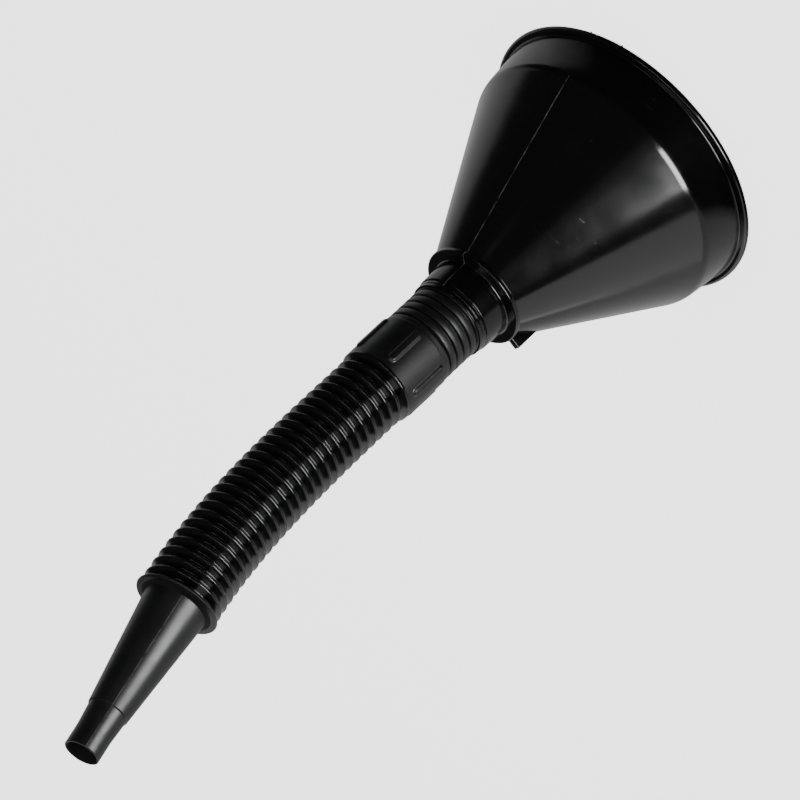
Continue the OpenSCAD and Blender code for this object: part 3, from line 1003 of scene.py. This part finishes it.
def build_world():
    """A dim room for reflections, and a pale one behind everything that the camera sees."""
    world = bpy.data.worlds.new("studio")
    bpy.context.scene.world = world
    world.use_nodes = True
    bench = NodeBench(world.node_tree)
    shader = world.node_tree.nodes["Background"]
    path = bench.add("ShaderNodeLightPath")
    tint = bench.add("ShaderNodeMix", data_type="RGBA")
    tint.inputs["A"].default_value = ROOM_DIM
    tint.inputs["B"].default_value = (ROOM_GLOW, ROOM_GLOW, ROOM_GLOW, 1)
    bench.join(path.outputs["Is Camera Ray"], tint.inputs["Factor"])
    bench.join(tint.outputs["Result"], shader.inputs["Color"])


def build_lights():
    """Soft cards: one over the top, a low key at the front left, pale ones round the back, weak ones in front."""
    soft_light("top_card", -90, 88, 1.6, (2.4, 2.4), 1.6, (0, 0, 0), in_gloss=False)
    soft_light("crest_strip", -95, 46, 1.4, (2.2, 0.08), 14.0, (0, 0, 0.27), on_floor=False)
    soft_light("key_card", -121, 0, 0.75, (0.44, 0.22), 27.0, (0, 0, 0.11), on_floor=False)
    soft_light("left_card", 177, 8, 1.3, (1.3, 0.9), 1.15, on_floor=False)
    soft_light("right_back_card", 66, 4, 1.5, (1.9, 0.9), 0.7, on_floor=False)
    soft_light("left_back_card", 130, 14, 1.5, (1.5, 1.3), 1.1, on_floor=False)
    soft_light("strip_card", -51, 24, 1.0, (0.03, 0.14), 5.0, (0, 0, 0.11), on_floor=False)
    soft_light("fill_card", -103, 21, 1.0, (0.34, 0.3), 0.12, (0, 0, 0.07), on_floor=False)


# ---------------------------------------------------------------- operators

class FUNNEL_OT_studio(bpy.types.Operator):
    """Make the floor, the lights, the room and the camera"""

    bl_idname = "funnel.studio"
    bl_label = "Studio"

    def execute(self, context):
        build_camera()
        build_floor()
        # sheets that paint dark reflections on the plastic
        for name, values in DARK_REFLECTION_SHEETS.items():
            build_dark_reflection_sheet(name, *values)
        build_world()
        build_lights()
        return {"FINISHED"}


class FUNNEL_OT_bowl(bpy.types.Operator):
    """Make the bowl's shell, its parting lines, its lug and the flash on its lip"""

    bl_idname = "funnel.bowl"
    bl_label = "Bowl"

    def execute(self, context):
        s = context.scene.funnel_bowl
        shell = build_bowl(s)
        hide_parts("funnel_bowl")
        for piece in [shell, build_lug(s), build_flash(s)] + build_bowl_seams(s):
            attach(piece, "bowl")
        return {"FINISHED"}


class FUNNEL_OT_strainer(bpy.types.Operator):
    """Make the strainer's ring and its woven gauze"""

    bl_idname = "funnel.strainer"
    bl_label = "Strainer"

    def execute(self, context):
        ring = build_strainer()
        gauze = build_gauze()
        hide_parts("strainer_ring")
        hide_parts("strainer_gauze")
        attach(ring, "strainer")
        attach(gauze, "strainer")
        return {"FINISHED"}


class FUNNEL_OT_neck(bpy.types.Operator):
    """Make the ribbed neck"""

    bl_idname = "funnel.neck"
    bl_label = "Neck"

    def execute(self, context):
        neck = build_neck(context.scene.funnel_spout)
        rest_place(neck)
        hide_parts("spout_neck")
        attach(neck, "neck")
        return {"FINISHED"}


class FUNNEL_OT_collar(bpy.types.Operator):
    """Make the grip collar"""

    bl_idname = "funnel.collar"
    bl_label = "Grip collar"

    def execute(self, context):
        collar = build_collar(context.scene.funnel_spout)
        rest_place(collar)
        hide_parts("spout_collar")
        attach(collar, "collar")
        return {"FINISHED"}


class FUNNEL_OT_hose(bpy.types.Operator):
    """Make the corrugated hose, one valley at a time"""

    bl_idname = "funnel.hose"
    bl_label = "Hose"

    def execute(self, context):
        for k, fold in enumerate(FOLDS):
            piece = build_fold(context.scene.funnel_spout, k)
            rest_place(piece)
            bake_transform(piece)
            if k < len(HOSE_RINGS):
                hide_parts(HOSE_RINGS[k])
        return {"FINISHED"}


class FUNNEL_OT_nozzle(bpy.types.Operator):
    """Make the end flange, the nozzle and its parting lines"""

    bl_idname = "funnel.nozzle"
    bl_label = "Nozzle"

    def execute(self, context):
        s = context.scene.funnel_spout
        shell = build_nozzle(s)
        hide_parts("nozzle")
        for piece in [shell] + build_nozzle_seams(s):
            rest_place(piece)
            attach(piece, "nozzle")
        return {"FINISHED"}


STEPS = (
    FUNNEL_OT_studio, FUNNEL_OT_bowl, FUNNEL_OT_strainer, FUNNEL_OT_neck, FUNNEL_OT_collar,
    FUNNEL_OT_hose, FUNNEL_OT_nozzle,
)


class FUNNEL_PT_panel(bpy.types.Panel):
    """Lists the pieces, their sizes and their colours"""

    bl_label = "Funnel"
    bl_idname = "FUNNEL_PT_panel"
    bl_space_type = "VIEW_3D"
    bl_region_type = "UI"
    bl_category = "Funnel"

    def draw(self, context):
        for step in STEPS:
            self.layout.operator(step.bl_idname)
        for group in ("funnel_bowl", "funnel_spout", "funnel_finish"):
            box = self.layout.box()
            settings = getattr(context.scene, group)
            for name in settings.__annotations__:
                box.prop(settings, name)


GROUPS = {"funnel_bowl": FunnelBowlSizes, "funnel_spout": FunnelSpoutSizes, "funnel_finish": FunnelFinish}
CLASSES = (*GROUPS.values(), *STEPS, FUNNEL_PT_panel)


def register():
    for cls in CLASSES:
        bpy.utils.register_class(cls)
    for name, group in GROUPS.items():
        setattr(bpy.types.Scene, name, PointerProperty(type=group))


def unregister():
    for name in GROUPS:
        delattr(bpy.types.Scene, name)
    for cls in reversed(CLASSES):
        bpy.utils.unregister_class(cls)


def main():
    """Builds the whole scene."""
    register()
    for step in STEPS:
        space, name = step.bl_idname.split(".")
        getattr(getattr(bpy.ops, space), name)()


if __name__ == "__main__":
    main()
